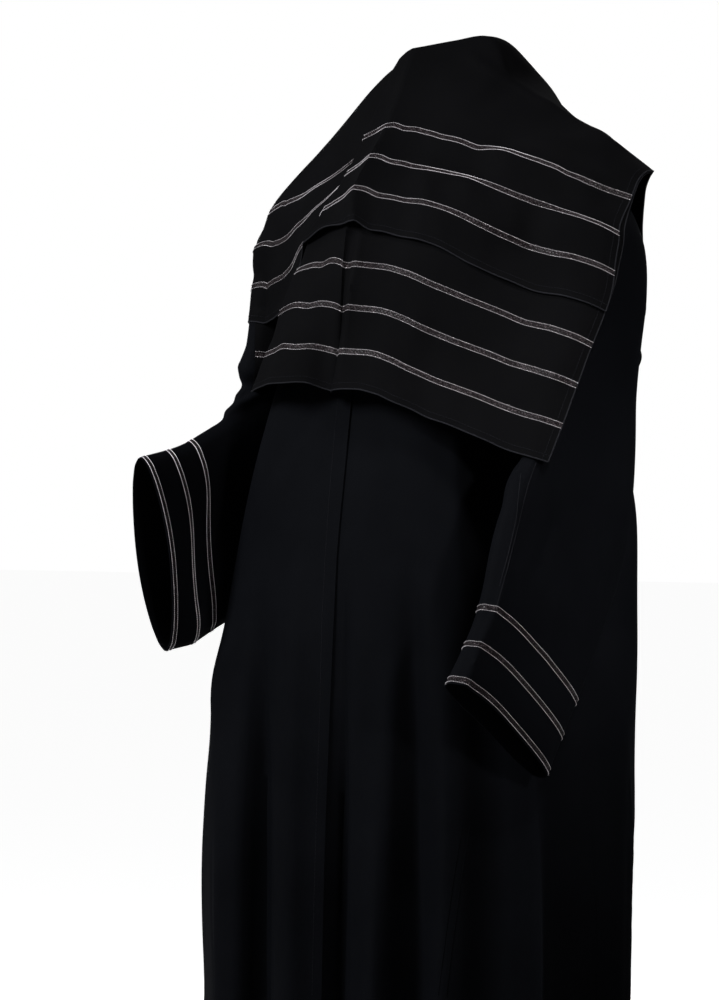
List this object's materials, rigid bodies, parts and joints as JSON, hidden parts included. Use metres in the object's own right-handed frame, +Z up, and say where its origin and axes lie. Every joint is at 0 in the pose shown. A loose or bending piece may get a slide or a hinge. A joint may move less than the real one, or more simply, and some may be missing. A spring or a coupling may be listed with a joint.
{
  "type": "abaya with matching shayla",
  "caption": "Open-front black abaya with long wide sleeves and bands of silver trim, worn with its matching shayla doubled over the neck and shoulders.",
  "frame": {"origin": "base of the wearer's neck, where the robe's shoulder seams start on both sides, in the middle of the neck opening", "axes": "+Z up along the wearer's neck, -Y out of the front, +X to the wearer's left"},
  "size_m": [0.5244, 0.4513, 1.4947],
  "materials": {
    "robe_crepe": "matte black crepe",
    "shayla_crepe": "matte black crepe, a little sheer in one layer",
    "silver_trim": "silver-pink metallic cords with glitter between them"
  },
  "bodies": {
    "root": {"front_right": "robe_crepe", "front_left": "robe_crepe", "back": "robe_crepe", "sleeve_right": "robe_crepe", "sleeve_left": "robe_crepe", "shayla_lower_end": "shayla_crepe", "shayla_upper_end": "shayla_crepe", "shayla_back": "shayla_crepe", "cuff_trim_right_1": "silver_trim", "cuff_trim_right_2": "silver_trim", "cuff_trim_right_3": "silver_trim", "cuff_trim_left_1": "silver_trim", "cuff_trim_left_2": "silver_trim", "cuff_trim_left_3": "silver_trim", "shayla_trim_upper_1": "silver_trim", "shayla_trim_upper_2": "silver_trim", "shayla_trim_upper_3": "silver_trim", "shayla_trim_lower_1": "silver_trim", "shayla_trim_lower_2": "silver_trim", "shayla_trim_lower_3": "silver_trim"}
  },
  "joints": []
}
